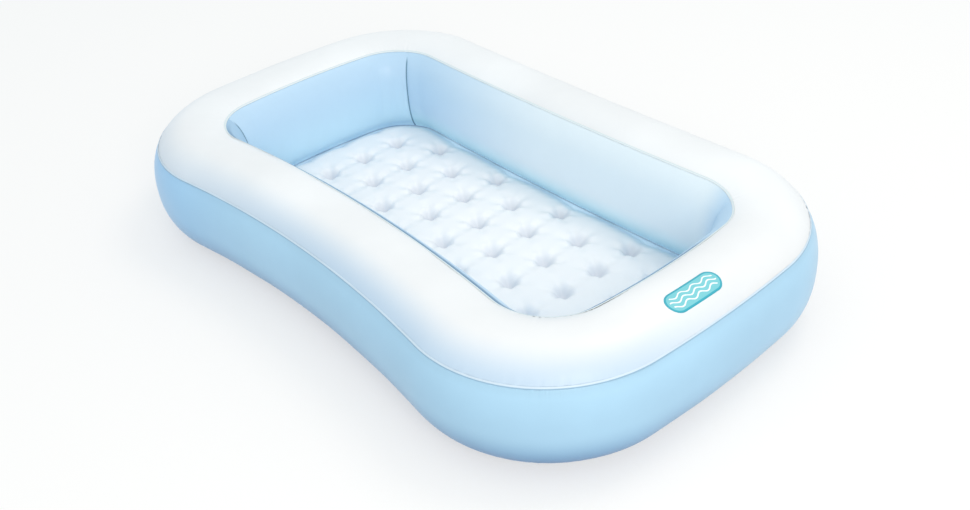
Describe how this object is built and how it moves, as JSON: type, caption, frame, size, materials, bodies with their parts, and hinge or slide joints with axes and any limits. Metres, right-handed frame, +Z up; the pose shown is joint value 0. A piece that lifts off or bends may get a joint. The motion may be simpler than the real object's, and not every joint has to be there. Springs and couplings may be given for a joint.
{
  "type": "inflatable baby pool",
  "caption": "Oblong inflatable paddling pool with waisted sides, white rim, blue walls, dimpled air floor and push-in air valves",
  "frame": {"origin": "middle of the base, on the ground", "axes": "+X along the pool towards the end with the patch, +Y towards the side with the wall valve, +Z up"},
  "size_m": [1.6596, 1.0218, 0.2752],
  "materials": {
    "white_film": "satin",
    "blue_film": "satin",
    "pale_blue_film": "satin",
    "weld_seam": "satin",
    "floor_film": "satin",
    "teal_patch": "matte",
    "clear_vinyl": "gloss"
  },
  "bodies": {
    "pool": {"rim_top_panel": "white_film", "outer_wall_panel": "blue_film", "outer_wall_lap_seam": "blue_film", "ring_base_panel": "blue_film", "inner_wall_panel_far": "pale_blue_film", "inner_wall_panel_left_end": "pale_blue_film", "inner_wall_panel_near": "pale_blue_film", "inner_wall_panel_right_end": "pale_blue_film", "inner_corner_seam_1": "weld_seam", "inner_corner_seam_2": "weld_seam", "inner_corner_seam_3": "weld_seam", "inner_corner_seam_4": "weld_seam", "outer_rim_seam": "weld_seam", "inner_rim_seam": "weld_seam", "outer_base_seam": "weld_seam", "inner_base_seam": "weld_seam", "floor_top_sheet": "floor_film", "floor_bottom_sheet": "floor_film", "rim_badge_patch": "teal_patch", "wall_valve_flange": "clear_vinyl", "floor_valve_flange": "clear_vinyl"},
    "wall_stem": {"wall_valve_stem": "clear_vinyl"},
    "wall_cap": {"wall_valve_cap": "clear_vinyl"},
    "wall_flap": {"wall_valve_flap": "clear_vinyl"},
    "floor_stem": {"floor_valve_stem": "clear_vinyl"},
    "floor_cap": {"floor_valve_cap": "clear_vinyl"},
    "floor_flap": {"floor_valve_flap": "clear_vinyl"}
  },
  "joints": [
    {"name": "wall_valve_pull", "type": "slide", "parent": "pool", "child": "wall_stem", "axis": [0, 1, 0], "range_m": [0, 0.014]},
    {"name": "wall_cap_hinge", "type": "hinge", "parent": "wall_stem", "child": "wall_cap", "pos_m": [-0.33, 0.51014, 0.1465], "axis": [1, 0, 0], "range_deg": [0, 150]},
    {"name": "wall_flap_hinge", "type": "hinge", "parent": "wall_stem", "child": "wall_flap", "pos_m": [-0.33, 0.49034, 0.1421], "axis": [-1, 0, 0], "range_deg": [0, 40], "stiffness_Nm_per_rad": 0.0003},
    {"name": "floor_valve_pull", "type": "slide", "parent": "pool", "child": "floor_stem", "axis": [0, 0, 1], "range_m": [0, 0.014]},
    {"name": "floor_cap_hinge", "type": "hinge", "parent": "floor_stem", "child": "floor_cap", "pos_m": [0.103, -0.15476, 0.0426], "axis": [-1, 0, 0], "range_deg": [0, 150]},
    {"name": "floor_flap_hinge", "type": "hinge", "parent": "floor_stem", "child": "floor_flap", "pos_m": [0.103, -0.15916, 0.0228], "axis": [1, 0, 0], "range_deg": [0, 40], "stiffness_Nm_per_rad": 0.0003}
  ]
}
